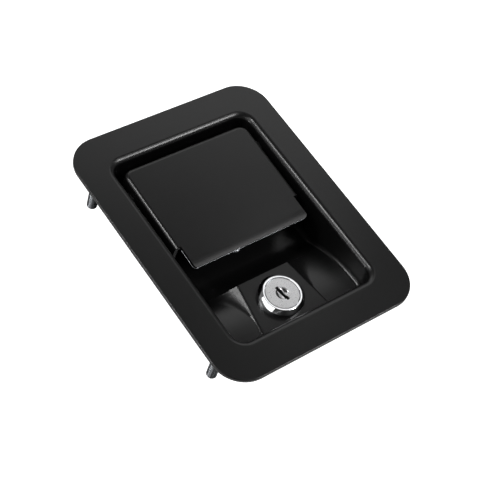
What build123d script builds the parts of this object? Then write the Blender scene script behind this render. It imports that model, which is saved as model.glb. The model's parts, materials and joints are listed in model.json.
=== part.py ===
from build123d import *

import os
from math import asin, atan2, cos, degrees, radians, sin, tan

# Enclosure door lock: a flush paddle latch with a slam bolt and a key lock.
# Millimetres. The origin is the centre of the flange's back face, where the door
# panel lies. +Z points out of the door and +Y towards the paddle's hinge.

os.makedirs("parts", exist_ok=True)

# Housing sheet: flange and rim
sheet = 1.6
flange_side = 16.0  # from the pan's side wall to the flange's edge
flange_end = 17.5  # from the pan's end wall to the flange's edge
flange_corner = 15.5
edge_round = 0.5
rim_radius = 3.0

# Drawn pan, inside sizes; depths are from the flange's front face
pan_width = 76.0
pan_height = 105.0
pan_corner = 6.0
pan_depth = 24.2
shelf_depth = 14.3
floor_radius = 2.2
slope_start = 43.0  # from the pan's bottom wall up to the deep floor
slope_angle = 28.0
slope_foot_radius = 10.0
slope_crown_radius = 55.0

# Raised boss for the lock
boss_rise = 0.3  # of the boss's flat top above the shelf round it
boss_top_half = 14.3
boss_reach = 14.2  # from the lock's axis to the boss's upper edge
boss_flare = 9.0
boss_side_draft = 58.0
boss_end_draft = 18.0
boss_edge_radius = 2.0

# Weld studs
stud_radius = 2.5
stud_length = 22.0
stud_chamfer = 0.7
stud_seat = 0.05
stud_from_side = 8.0
stud_from_end = 19.6

# Paddle
paddle_sheet = 1.8
paddle_top_gap = 4.5
paddle_side_gap = 3.0
paddle_length = 58.3
paddle_set_back = 1.0  # of its top edge, behind the flange's front face
paddle_slope = 1.9
paddle_corner = 5.0
paddle_fold = 2.2
paddle_skirt = 15.5
skirt_tail = 8.0
skirt_straight = 22.0
lip_length = 12.2
lip_inset = 3.0
lip_corner = 1.8
lip_curl_length = 4.6
lip_curl_angle = 15.0

# Hinge of the paddle
pivot_from_top = 11.0  # below the paddle's top edge
pivot_depth = 11.6  # behind the flange's front face
pin_radius = 2.5
pin_head_radius = 4.2
pin_head_height = 1.5
pin_tail = 3.0
clip_radius = 4.8
clip_thickness = 0.8
clip_groove = 0.5
spacer_radius = 5.5
running_gap = 0.05
side_play = 0.2
pull_angle = 23.0

# Release arm
arm_thickness = 4.0
arm_tip_radius = 2.5
arm_tip_depth = 5.9  # of the tip's centre, below the bolt's top
arm_neck = 9.0
arm_hub_radius = 6.0
arm_foot_width = 18.0
arm_foot_length = 14.0
arm_foot_thickness = 2.0
window_play = 1.0

# Return spring, one coil each side of the arm
spring_wire = 1.5
spring_coil_play = 0.6
spring_turns = 5
spring_pitch = 1.8
spring_from_arm = 3.0
spring_leg = 19.0
spring_seat_gap = 0.2

# Latch bolt
overall_depth = 60.0
bolt_width = 20.0
bolt_thickness = 14.0
bolt_tail_wall = 12.2
bolt_nose_wall = 13.2
bolt_nose_slope = 40.0
bolt_nose_land = 4.0
bolt_nose_round = 1.0
bolt_edge = 1.0
slot_play = 0.3
slam_spare = 0.5
rod_radius = 3.0
rod_seat = 8.0
rod_tail = 3.0
rod_chamfer = 0.6

# Guide bracket of the bolt
bracket_sheet = 2.0
bracket_play = 0.2
bracket_floor_play = 0.3
bracket_bend = 1.0
bracket_from_slope = 3.5
bracket_foot = 11.0
rear_foot = 9.0
bracket_relief = 6.0
tab_width = 18.0
strap_from_front = 2.0
strap_width = 6.0
strap_thickness = 2.0
strap_ear = 1.0
strap_chamfer = 0.4

# Bolt spring
bolt_spring_wire = 1.1
bolt_spring_play = 0.4
bolt_spring_pitch = 3.1

# Rivets of the bracket
rivet_radius = 2.0
rivet_head_radius = 3.5
rivet_head_height = 1.4
rivet_tail_radius = 3.2
rivet_tail_height = 1.2
rivet_front_inset = 7.0
rivet_back_inset = 14.0
rear_rivet_offset = 2.5
rear_rivet_in = 5.4

# Key lock
lock_from_bottom = 16.3
head_base_radius = 11.0
head_face_radius = 9.2
head_height = 3.8
head_foot = 0.5
head_bulge_radius = 5.2
head_round = 0.4
face_recess_radius = 8.15
barrel_radius = 8.9
barrel_flat = 16.0
plug_face_radius = 7.95
plug_face_depth = 2.0
plug_set_back = 0.15
plug_radius = 6.0
keyway_dish_radius = 3.2
keyway_dish_depth = 0.6
keyway_length = 8.2
keyway_width = 1.7
keyway_depth = 22.0
keyway_tilt = 12.0
washer_radius = 11.4
washer_thickness = 0.8
nut_across = 21.0
nut_height = 4.0

# Cam on the lock's core
cam_gap = 0.2
cam_over_rod = 0.6
cam_thickness = 2.5
cam_hub_radius = 9.0
cam_width = 11.0
cam_length = 26.0
tang_across = 7.0
tang_short = 0.1
cam_screw_radius = 2.0
cam_screw_depth = 9.0
cam_screw_spare = 0.5
cam_washer_radius = 6.0
cam_washer_thickness = 1.0
cam_screw_head_radius = 4.0
cam_screw_head_height = 2.6
cam_screw_head_round = 0.8
screw_slot_width = 1.0
screw_slot_depth = 1.0

# Flange round the pan
flange_width = pan_width + 2 * flange_side
flange_height = pan_height + 2 * flange_end

# Levels along Z
front_z = sheet
floor_z = front_z - pan_depth
shelf_z = front_z - shelf_depth
boss_z = shelf_z + boss_rise
floor_back_z = floor_z - sheet
boss_back_z = boss_z - sheet
deepest_z = front_z - overall_depth
web_z = deepest_z + bracket_sheet
bolt_under_z = web_z + bracket_floor_play
bolt_top_z = bolt_under_z + bolt_thickness
bolt_mid_z = bolt_under_z + bolt_thickness / 2
cam_under_z = bolt_mid_z + rod_radius + cam_over_rod
cam_top_z = cam_under_z + cam_thickness
barrel_end_z = cam_top_z + cam_gap

# Places along Y
pan_top = pan_height / 2
pan_bottom = -pan_height / 2
slope_y = pan_bottom + slope_start
lock_y = pan_bottom + lock_from_bottom
paddle_top = pan_top - paddle_top_gap
pivot_y = paddle_top - pivot_from_top
pivot_z = front_z - pivot_depth
boss_top = lock_y + boss_reach
skirt_end = paddle_top - paddle_length + lip_length

# Paddle sheet: its top edge, its slope and its underside
paddle_half = pan_width / 2 - paddle_side_gap
lip_half = paddle_half - lip_inset
paddle_plane = Plane(
    origin=(0, paddle_top, front_z - paddle_set_back),
    x_dir=(1, 0, 0),
    z_dir=(0, -sin(radians(paddle_slope)), cos(radians(paddle_slope))),
)


def underside(y):
    """Height of the paddle sheet's underside at a place along Y."""
    top = front_z - paddle_set_back - (paddle_top - y) * tan(radians(paddle_slope))
    return top - paddle_sheet / cos(radians(paddle_slope))


# Stroke of the bolt for the full pull of the paddle
arm_tip_z = bolt_top_z - arm_tip_depth
arm_radius = pivot_z - arm_tip_z
bolt_stroke = arm_radius * sin(radians(pull_angle))
slot_back = pivot_y - arm_tip_radius - slot_play
slot_front = pivot_y + arm_tip_radius + bolt_stroke + slam_spare
slot_half = arm_thickness / 2 + slot_play
bolt_back = slot_back - bolt_tail_wall
bolt_front = slot_front + bolt_nose_wall

# Bracket: channel walls, ends and the tab behind the bolt
channel_half = bolt_width / 2 + bracket_play
bracket_half = channel_half + bracket_sheet
bracket_front = pan_top - edge_round
bracket_back = slope_y + bracket_from_slope
tab_front = bracket_back + bracket_sheet
strap_front = bolt_front - bolt_stroke - strap_from_front
strap_back = strap_front - strap_width
strap_z = bolt_top_z + bracket_play
rod_back = bracket_back - rod_tail


def lay_pan(grow):
    """Block that fills the pan, grown outwards by a given amount, without the boss."""
    half_x = pan_width / 2 + grow
    top, bottom = pan_top + grow, pan_bottom - grow
    deep, shelf = floor_z - grow, shelf_z - grow
    foot_r, crown_r = slope_foot_radius + grow, slope_crown_radius - grow
    turn = radians(slope_angle)
    start = slope_y
    rise = shelf - deep - (foot_r + crown_r) * (1 - cos(turn))
    foot_top = (start - foot_r * sin(turn), deep + foot_r * (1 - cos(turn)))
    crown_foot = (foot_top[0] - rise / tan(turn), foot_top[1] + rise)
    crown_top = crown_foot[0] - crown_r * sin(turn)
    with BuildPart() as block:
        with BuildSketch(Plane.YZ):
            with BuildLine():
                Polyline((bottom, shelf), (bottom, front_z), (top, front_z), (top, deep), (start, deep))
                RadiusArc((start, deep), foot_top, foot_r)
                Line(foot_top, crown_foot)
                RadiusArc(crown_foot, (crown_top, shelf), -crown_r)
                Line((crown_top, shelf), (bottom, shelf))
            make_face()
        extrude(amount=half_x, both=True)
        fillet(block.edges().filter_by(Axis.Z), pan_corner + grow)
        rim_of_floor = block.edges().filter_by(
            lambda e: e.bounding_box().max.Z < shelf + edge_round
            and (abs(e.center().X) > edge_round or abs(e.center().Y) > pan_top - pan_corner)
        )
        fillet(rim_of_floor, floor_radius + grow)
    return block.part


def lay_boss(grow):
    """Tapered boss for the lock, as its front skin, or shrunk to the back of the sheet."""
    depth = boss_z - floor_z + sheet

    def outline(level):
        """Boss corners at a distance below the boss's flat top."""
        side, end = radians(boss_side_draft), radians(boss_end_draft)
        side_in = grow * (1 - sin(side)) / cos(side) - level * tan(side)
        end_in = grow * (1 - sin(end)) / cos(end) - level * tan(end)
        low = boss_top - end_in - (boss_top - pan_bottom)
        wide = boss_top_half - side_in + (boss_top - pan_bottom) * tan(radians(boss_flare))
        return [
            (boss_top_half - side_in, boss_top - end_in),
            (wide, low + level * tan(end)),
            (-wide, low + level * tan(end)),
            (side_in - boss_top_half, boss_top - end_in),
        ]

    with BuildPart() as boss:
        for level in (0, depth):
            with BuildSketch(Plane.XY.offset(boss_z - grow - level)):
                Polygon(*outline(level), align=None)
        loft(ruled=True)
        if not grow:
            top_edges = boss.faces().sort_by(Axis.Z)[-1].edges().sort_by(Axis.X)
            fillet([top_edges[0], top_edges[-1]], boss_edge_radius)
    return boss.part


def lay_window(gap):
    """Y limits of the floor window that the arm swings in, with a gap round it."""
    reach = pivot_z - floor_back_z
    half = arm_hub_radius * (1 - reach / arm_radius) + arm_tip_radius * reach / arm_radius
    high = pivot_y + half + gap
    low = pivot_y - reach * tan(radians(pull_angle)) - half / cos(radians(pull_angle)) - gap
    return low, high


# Rivet places: four in the side feet and one in the rear foot
foot_mid = bracket_half + bracket_foot / 2
rivet_places = [
    (side * foot_mid, y)
    for side in (-1, 1)
    for y in (bracket_back + rivet_back_inset, bracket_front - rivet_front_inset)
] + [(rear_rivet_offset, tab_front + rear_rivet_in)]
window_low, window_high = lay_window(window_play)
window_half = arm_thickness / 2 + 2 * window_play

# Stud places
stud_x = flange_width / 2 - stud_from_side
stud_y = flange_height / 2 - stud_from_end

# Housing: one sheet with the flange, the drawn pan and the boss
with BuildPart() as housing:
    with BuildSketch():
        RectangleRounded(flange_width, flange_height, flange_corner)
    extrude(amount=sheet)
    add(lay_pan(sheet) - lay_boss(sheet))
    back_bend = housing.edges().filter_by(
        lambda e: abs(e.center().Z) < sheet / 4
        and e.bounding_box().size.Z < sheet / 4
        and abs(e.center().X) < pan_width / 2 + 2 * sheet
        and abs(e.center().Y) < pan_height / 2 + 2 * sheet
    )
    fillet(back_bend, rim_radius - sheet)
    add(lay_pan(0) - lay_boss(0), mode=Mode.SUBTRACT)
    front_bend = housing.edges().filter_by(
        lambda e: abs(e.center().Z - front_z) < sheet / 4
        and abs(e.center().X) < pan_width / 2 + sheet
        and abs(e.center().Y) < pan_height / 2 + sheet
    )
    fillet(front_bend, rim_radius)
    outer_edge = housing.edges().filter_by(
        lambda e: abs(e.center().Z - front_z) < sheet / 4
        and (
            abs(e.center().X) > pan_width / 2 + rim_radius + edge_round
            or abs(e.center().Y) > pan_height / 2 + rim_radius + edge_round
        )
    )
    fillet(outer_edge, edge_round)
    with BuildSketch(Plane.XY.offset(boss_z + sheet)):
        with Locations((0, lock_y)):
            Circle(barrel_radius + 2 * running_gap)
            Rectangle(barrel_flat + 4 * running_gap, 4 * barrel_radius, mode=Mode.INTERSECT)
    extrude(amount=-4 * sheet, mode=Mode.SUBTRACT)
    with BuildSketch(Plane.XY.offset(floor_z + sheet)):
        with Locations((0, (window_low + window_high) / 2)):
            RectangleRounded(2 * window_half, window_high - window_low, window_play)
    extrude(amount=-3 * sheet, mode=Mode.SUBTRACT)
    with BuildSketch(Plane.XY.offset(floor_z + sheet)):
        with Locations(*rivet_places):
            Circle(rivet_radius + running_gap)
    extrude(amount=-3 * sheet, mode=Mode.SUBTRACT)
    with BuildSketch(Plane.YZ):
        with Locations((pivot_y, pivot_z)):
            Circle(pin_radius + running_gap)
    extrude(amount=pan_width, both=True, mode=Mode.SUBTRACT)
    with BuildSketch():
        with GridLocations(2 * stud_x, 2 * stud_y, 2, 2):
            Circle(stud_radius + running_gap)
    extrude(amount=stud_seat, mode=Mode.SUBTRACT)
housing.part.label = "housing"
export_step(housing.part, "parts/housing.step")

# Four studs welded into shallow seats in the flange's back, chamfered at the free end
with BuildPart() as weld_studs:
    with BuildSketch(Plane.XY.offset(stud_seat)):
        with GridLocations(2 * stud_x, 2 * stud_y, 2, 2):
            Circle(stud_radius)
    extrude(amount=-stud_length - stud_seat)
    chamfer(weld_studs.faces().sort_by(Axis.Z)[:4].edges(), stud_chamfer)
weld_studs.part.label = "weld_studs"
export_step(weld_studs.part, "parts/weld_studs.step")

# Paddle: a drawn cap open at its lower end, with a narrower curled lip
turn = radians(lip_curl_angle)
curl_radius = lip_curl_length / turn
lip_straight = paddle_length - lip_curl_length


def lay_lip_side():
    """Side outline of the lip: straight sheet, then a gentle curl inwards."""
    start = -(paddle_length - lip_length - paddle_fold)
    outer_end = (-lip_straight - curl_radius * sin(turn), -curl_radius * (1 - cos(turn)))
    inner = curl_radius - paddle_sheet
    inner_end = (-lip_straight - inner * sin(turn), -curl_radius + inner * cos(turn))
    with BuildLine() as side:
        Polyline((-lip_straight, -paddle_sheet), (start, -paddle_sheet), (start, 0), (-lip_straight, 0))
        RadiusArc((-lip_straight, 0), outer_end, -curl_radius)
        Line(outer_end, inner_end)
        RadiusArc(inner_end, (-lip_straight, -paddle_sheet), inner)
    return side.line


cap_length = paddle_length - lip_length
with BuildPart() as paddle:
    with BuildSketch(paddle_plane):
        with Locations((0, -cap_length / 2)):
            Rectangle(2 * paddle_half, cap_length)
    extrude(amount=-paddle_skirt)
    sheet_normal = Axis(paddle_plane.origin, paddle_plane.z_dir)
    top_corners = paddle.edges().filter_by(sheet_normal).sort_by(Axis.Y)[-2:]
    fillet(top_corners, paddle_corner)
    fold_edges = paddle.faces().sort_by(Axis.Z)[-1].edges().sort_by(Axis.Y)[1:]
    fillet(fold_edges, paddle_fold)
    open_faces = paddle.faces().sort_by(Axis.Y)[:1] + paddle.faces().sort_by(Axis.Z)[:1]
    offset(amount=-paddle_sheet, openings=open_faces)
    with BuildSketch(Plane.YZ):
        with BuildLine():
            Polyline(
                (skirt_end - paddle_skirt, underside(skirt_end) + paddle_sheet - skirt_tail),
                (skirt_end, underside(skirt_end) + paddle_sheet - skirt_tail),
                (skirt_end + skirt_straight, underside(skirt_end) + paddle_sheet - paddle_skirt),
                (skirt_end + skirt_straight, front_z - 2 * paddle_skirt),
                (skirt_end - paddle_skirt, front_z - 2 * paddle_skirt),
                close=True,
            )
        make_face()
    extrude(amount=pan_width, both=True, mode=Mode.SUBTRACT)
    with BuildSketch(Plane(paddle_plane.origin, x_dir=paddle_plane.y_dir, z_dir=(1, 0, 0))):
        add(make_face(lay_lip_side().edges(), mode=Mode.PRIVATE))
    extrude(amount=lip_half, both=True)
    lip_ends = paddle.edges().filter_by(
        lambda e: e.center().Y < skirt_end - lip_length / 2
        and abs(abs(e.center().X) - lip_half) < running_gap
        and e.bounding_box().size.Z > paddle_sheet / 2
        and e.bounding_box().size.Y < paddle_sheet
    )
    fillet(lip_ends, lip_corner)
    with BuildSketch(Plane.YZ):
        with Locations((pivot_y, pivot_z)):
            Circle(pin_radius + running_gap)
    extrude(amount=pan_width, both=True, mode=Mode.SUBTRACT)
paddle.part.label = "paddle"
export_step(paddle.part, "parts/paddle.step")

# Pivot pin: headed on one side, grooved for its clip on the other
wall_half = pan_width / 2 + sheet
pin_head_x = -wall_half - running_gap
clip_x = wall_half + side_play
pin_end_x = clip_x + clip_thickness + pin_tail
groove_slack = running_gap
with BuildPart() as pivot_pin:
    with BuildSketch(Plane.XZ.offset(-pivot_y)):
        with BuildLine():
            low, mid, top = pivot_z, pivot_z + pin_radius, pivot_z + pin_head_radius
            bottom_of_groove = mid - clip_groove
            Polyline(
                (pin_head_x - pin_head_height, low),
                (pin_head_x - pin_head_height, top),
                (pin_head_x, top),
                (pin_head_x, mid),
                (clip_x - groove_slack, mid),
                (clip_x - groove_slack, bottom_of_groove),
                (clip_x + clip_thickness + groove_slack, bottom_of_groove),
                (clip_x + clip_thickness + groove_slack, mid),
                (pin_end_x - clip_groove, mid),
                (pin_end_x, mid - clip_groove),
                (pin_end_x, low),
                close=True,
            )
        make_face()
    revolve(axis=Axis((0, pivot_y, pivot_z), (1, 0, 0)))
pivot_pin.part.label = "pivot_pin"
export_step(pivot_pin.part, "parts/pivot_pin.step")


def lay_ring(at_x, length, outer, inner):
    """Ring round the paddle's pivot, from a place along X, with a given length."""
    with BuildPart() as ring:
        with BuildSketch(Plane.YZ.offset(at_x)):
            with Locations((pivot_y, pivot_z)):
                Circle(outer)
                Circle(inner, mode=Mode.SUBTRACT)
        extrude(amount=length)
    return ring


# Snap ring in the pin's groove, open on one side
with BuildPart() as pin_clip:
    with BuildSketch(Plane.YZ.offset(clip_x)):
        with Locations((pivot_y, pivot_z)):
            Circle(clip_radius)
            Circle(pin_radius - clip_groove + running_gap, mode=Mode.SUBTRACT)
        with Locations((pivot_y, pivot_z - clip_radius)):
            Rectangle(pin_radius, 2 * clip_radius, mode=Mode.SUBTRACT)
    extrude(amount=clip_thickness)
pin_clip.part.label = "pin_clip"
export_step(pin_clip.part, "parts/pin_clip.step")

# Spacers that centre the paddle between the pan's walls
spacer_length = paddle_side_gap - 2 * side_play
for side, name in ((-1, "left"), (1, "right")):
    inner_face = paddle_half + side_play
    start = inner_face if side > 0 else -inner_face - spacer_length
    spacer = lay_ring(start, spacer_length, spacer_radius, pin_radius + running_gap)
    spacer.part.label = "pivot_spacer_" + name
    export_step(spacer.part, "parts/pivot_spacer_" + name + ".step")

# Release arm: foot under the paddle, hub on the pin and a rounded tip in the bolt
foot_from_top = (arm_foot_length - pivot_from_top) / 2 + pivot_from_top
with BuildPart() as release_arm:
    with BuildSketch(Plane.YZ):
        with Locations((pivot_y, pivot_z)):
            Circle(arm_hub_radius)
        with Locations((pivot_y, arm_tip_z)):
            Circle(arm_tip_radius)
        with BuildLine():
            neck_z = arm_tip_z + arm_neck
            crown_z = underside(pivot_y) - arm_foot_thickness / 2
            Polyline(
                (pivot_y - arm_tip_radius, arm_tip_z),
                (pivot_y - arm_tip_radius, neck_z),
                (pivot_y - arm_hub_radius, pivot_z),
                (pivot_y - arm_hub_radius, crown_z),
                (pivot_y + arm_hub_radius, crown_z),
                (pivot_y + arm_hub_radius, pivot_z),
                (pivot_y + arm_tip_radius, neck_z),
                (pivot_y + arm_tip_radius, arm_tip_z),
                close=True,
            )
        make_face()
    extrude(amount=arm_thickness / 2, both=True)
    with BuildSketch(paddle_plane.offset(-paddle_sheet)):
        with Locations((0, -pivot_from_top)):
            RectangleRounded(arm_foot_width, arm_foot_length, arm_foot_thickness)
    extrude(amount=-arm_foot_thickness)
    with BuildSketch(Plane.YZ):
        with Locations((pivot_y, pivot_z)):
            Circle(pin_radius + running_gap)
    extrude(amount=arm_foot_width, both=True, mode=Mode.SUBTRACT)
release_arm.part.label = "release_arm"
export_step(release_arm.part, "parts/release_arm.step")

# Return spring: two coils round the pin, each with a leg on the paddle and one on the floor
coil_radius = pin_radius + spring_coil_play + spring_wire / 2
coil_start = arm_thickness / 2 + spring_from_arm
paddle_leg_end = underside(pivot_y - spring_leg) - spring_wire / 2 - spring_seat_gap
lean = asin((paddle_leg_end - pivot_z - coil_radius) / spring_leg)
coil_turns = spring_turns + (90 - degrees(lean)) / 360
floor_leg = pivot_z - floor_z - spring_seat_gap
pivot_axis = Axis((0, pivot_y, pivot_z), (1, 0, 0))
coil_line = Helix(
    spring_pitch,
    coil_turns * spring_pitch,
    coil_radius,
    center=(coil_start, pivot_y, pivot_z),
    direction=(1, 0, 0),
    lefthand=True,
)
first = coil_line @ 0
first_angle = degrees(atan2(first.Z - pivot_z, first.Y - pivot_y))
coil_line = coil_line.rotate(pivot_axis, 90 - degrees(lean) - first_angle)
with BuildPart() as right_coil:
    with BuildSketch(Plane(origin=coil_line @ 0, z_dir=coil_line % 0)):
        Circle(spring_wire / 2)
    sweep(path=coil_line, is_frenet=True)
    with BuildSketch(Plane(origin=coil_line @ 0, z_dir=-(coil_line % 0))):
        Circle(spring_wire / 2)
    extrude(amount=spring_leg)
    with BuildSketch(Plane(origin=coil_line @ 1, z_dir=coil_line % 1)):
        Circle(spring_wire / 2)
    extrude(amount=floor_leg)
with BuildPart() as return_spring:
    add(right_coil.part)
    mirror(right_coil.part, about=Plane.YZ)
return_spring.part.label = "return_spring"
export_step(return_spring.part, "parts/return_spring.step")

# Latch bolt: block with a sloped nose, a long slot for the arm and a seat for its rod
slope_run = (bolt_thickness - bolt_nose_land) / tan(radians(bolt_nose_slope))
with BuildPart() as latch_bolt:
    with BuildSketch(Plane.YZ):
        with BuildLine():
            Polyline(
                (bolt_back, bolt_top_z),
                (bolt_front, bolt_top_z),
                (bolt_front, bolt_top_z - bolt_nose_land),
                (bolt_front - slope_run, bolt_under_z),
                (bolt_back, bolt_under_z),
                close=True,
            )
        make_face()
    extrude(amount=bolt_width / 2, both=True)
    long_edges = latch_bolt.edges().filter_by(Axis.Y).group_by(Axis.Z)[0]
    chamfer(long_edges, bolt_edge)
    nose_edges = latch_bolt.edges().filter_by(Axis.X).group_by(Axis.Y)[-1]
    fillet(nose_edges, bolt_nose_round)
    with BuildSketch(Plane.XY.offset(bolt_top_z)):
        with Locations((0, (slot_back + slot_front) / 2)):
            Rectangle(2 * slot_half, slot_front - slot_back)
    extrude(amount=-bolt_thickness, mode=Mode.SUBTRACT)
    with BuildSketch(Plane.XZ.offset(-bolt_back)):
        with Locations((0, bolt_mid_z)):
            Circle(rod_radius + running_gap)
    extrude(amount=-rod_seat, mode=Mode.SUBTRACT)
latch_bolt.part.label = "latch_bolt"
export_step(latch_bolt.part, "parts/latch_bolt.step")

# Rod in the bolt's tail: it guides the spring and slides through the bracket's tab
with BuildPart() as bolt_rod:
    with BuildSketch(Plane.XZ.offset(-bolt_back - rod_seat)):
        with Locations((0, bolt_mid_z)):
            Circle(rod_radius)
    extrude(amount=bolt_back + rod_seat - rod_back)
    chamfer(bolt_rod.faces().sort_by(Axis.Y)[0].edges(), rod_chamfer)
bolt_rod.part.label = "bolt_rod"
export_step(bolt_rod.part, "parts/bolt_rod.step")

# Bolt spring, round the rod between the tab and the bolt's tail
bolt_coil_radius = rod_radius + bolt_spring_play + bolt_spring_wire / 2
bolt_coil_length = bolt_back - tab_front - bolt_spring_wire - 2 * spring_seat_gap
bolt_coil_start = tab_front + bolt_spring_wire / 2 + spring_seat_gap
bolt_coil_turns = round(bolt_coil_length / bolt_spring_pitch)
bolt_coil_line = Helix(
    bolt_coil_length / bolt_coil_turns,
    bolt_coil_length,
    bolt_coil_radius,
    center=(0, bolt_coil_start, bolt_mid_z),
    direction=(0, 1, 0),
)
with BuildPart() as bolt_spring:
    with BuildSketch(Plane(origin=bolt_coil_line @ 0, z_dir=bolt_coil_line % 0)):
        Circle(bolt_spring_wire / 2)
    sweep(path=bolt_coil_line, is_frenet=True)
bolt_spring.part.label = "bolt_spring"
export_step(bolt_spring.part, "parts/bolt_spring.step")

# Guide bracket: one folded sheet, a channel with side feet, a rear tab and a rear foot
channel_back = bracket_back + bracket_relief
foot_under_z = floor_back_z - bracket_sheet
foot_end = bracket_half + bracket_foot
with BuildPart() as guide_bracket:
    with BuildSketch(Plane.XZ.offset(-bracket_front)) as channel:
        with BuildLine():
            Polyline(
                (-foot_end, floor_back_z),
                (-channel_half, floor_back_z),
                (-channel_half, web_z),
                (channel_half, web_z),
                (channel_half, floor_back_z),
                (foot_end, floor_back_z),
                (foot_end, foot_under_z),
                (bracket_half, foot_under_z),
                (bracket_half, deepest_z),
                (-bracket_half, deepest_z),
                (-bracket_half, foot_under_z),
                (-foot_end, foot_under_z),
                close=True,
            )
        make_face()
        inner_corners = [
            v for v in channel.vertices()
            if (abs(abs(v.X) - channel_half) < running_gap and abs(v.Y - web_z) < running_gap)
            or (abs(abs(v.X) - bracket_half) < running_gap and abs(v.Y - foot_under_z) < running_gap)
        ]
        fillet(inner_corners, bracket_bend)
        outer_corners = [
            v for v in channel.vertices()
            if (abs(abs(v.X) - channel_half) < running_gap and abs(v.Y - floor_back_z) < running_gap)
            or (abs(abs(v.X) - bracket_half) < running_gap and abs(v.Y - deepest_z) < running_gap)
        ]
        fillet(outer_corners, bracket_bend + bracket_sheet)
    extrude(amount=bracket_front - channel_back)
    with BuildSketch(Plane.YZ) as tab:
        with BuildLine():
            Polyline(
                (channel_back + bracket_sheet, deepest_z),
                (bracket_back, deepest_z),
                (bracket_back, floor_back_z),
                (tab_front + rear_foot, floor_back_z),
                (tab_front + rear_foot, foot_under_z),
                (tab_front, foot_under_z),
                (tab_front, web_z),
                (channel_back + bracket_sheet, web_z),
                close=True,
            )
        make_face()
        tab_inner = [v for v in tab.vertices() if abs(v.X - tab_front) < running_gap]
        fillet(tab_inner, bracket_bend)
        tab_outer = [v for v in tab.vertices() if abs(v.X - bracket_back) < running_gap]
        fillet(tab_outer, bracket_bend + bracket_sheet)
    extrude(amount=tab_width / 2, both=True)
    with BuildSketch(Plane.XZ.offset(-tab_front)):
        with Locations((0, bolt_mid_z)):
            Circle(rod_radius + bracket_play)
    extrude(amount=2 * bracket_sheet, mode=Mode.SUBTRACT)
    with BuildSketch(Plane.XY.offset(floor_back_z)):
        with Locations(*rivet_places):
            Circle(rivet_radius + running_gap)
    extrude(amount=-2 * bracket_sheet, mode=Mode.SUBTRACT)
    with BuildSketch(Plane.YZ):
        with Locations(((strap_back + strap_front) / 2, strap_z + strap_thickness / 2)):
            Rectangle(strap_width + 2 * running_gap, strap_thickness + 2 * running_gap)
    extrude(amount=bracket_half + bracket_sheet, both=True, mode=Mode.SUBTRACT)
guide_bracket.part.label = "guide_bracket"
export_step(guide_bracket.part, "parts/guide_bracket.step")

# Keeper strap through the channel's walls, over the bolt
with BuildPart() as keeper_strap:
    with BuildSketch(Plane.XY.offset(strap_z)):
        with Locations((0, (strap_back + strap_front) / 2)):
            Rectangle(2 * (bracket_half + strap_ear), strap_width)
    extrude(amount=strap_thickness)
    chamfer(keeper_strap.faces().filter_by(Axis.X).edges(), strap_chamfer)
keeper_strap.part.label = "keeper_strap"
export_step(keeper_strap.part, "parts/keeper_strap.step")

# Rivets through the pan's floor and the bracket's feet
dome_radius = (rivet_head_radius**2 + rivet_head_height**2) / (2 * rivet_head_height)
with BuildPart() as rivet:
    with BuildSketch(Plane.XZ):
        with BuildLine():
            Polyline(
                (0, floor_z + rivet_head_height),
                (0, foot_under_z - rivet_tail_height),
                (rivet_tail_radius - edge_round, foot_under_z - rivet_tail_height),
                (rivet_tail_radius, foot_under_z),
                (rivet_radius, foot_under_z),
                (rivet_radius, floor_z),
                (rivet_head_radius, floor_z),
            )
            RadiusArc((rivet_head_radius, floor_z), (0, floor_z + rivet_head_height), -dome_radius)
        make_face()
    revolve(axis=Axis.Z)
with BuildPart() as mechanism_rivets:
    with Locations(*rivet_places):
        add(rivet.part)
mechanism_rivets.part.label = "mechanism_rivets"
export_step(mechanism_rivets.part, "parts/mechanism_rivets.step")

# Lock barrel: flared head on the boss and a flatted body behind it
lock_axis = Axis((0, lock_y, 0), (0, 0, 1))
lock_plane = Plane.XZ.offset(-lock_y)
face_z = boss_z + head_height
bore_radius = plug_radius + running_gap
recess_z = face_z - plug_face_depth
with BuildPart() as lock_barrel:
    with BuildSketch(lock_plane):
        with BuildLine():
            Polyline(
                (bore_radius, barrel_end_z),
                (barrel_radius, barrel_end_z),
                (barrel_radius, boss_z),
                (head_base_radius, boss_z),
                (head_base_radius, boss_z + head_foot),
            )
            RadiusArc(
                (head_base_radius, boss_z + head_foot), (head_face_radius, face_z), -head_bulge_radius
            )
            Polyline(
                (head_face_radius, face_z),
                (face_recess_radius, face_z),
                (face_recess_radius, recess_z),
                (bore_radius, recess_z),
                (bore_radius, barrel_end_z),
            )
        make_face()
    revolve(axis=lock_axis)
    fillet(lock_barrel.edges().group_by(Axis.Z)[-1].sort_by(SortBy.RADIUS)[-1], head_round)
    with BuildSketch(Plane.XY.offset(boss_z)):
        with Locations((0, lock_y)):
            Circle(barrel_radius + sheet)
            Rectangle(barrel_flat, 4 * barrel_radius, mode=Mode.SUBTRACT)
    extrude(amount=2 * (barrel_end_z - boss_z), mode=Mode.SUBTRACT)
lock_barrel.part.label = "lock_barrel"
export_step(lock_barrel.part, "parts/lock_barrel.step")

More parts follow.
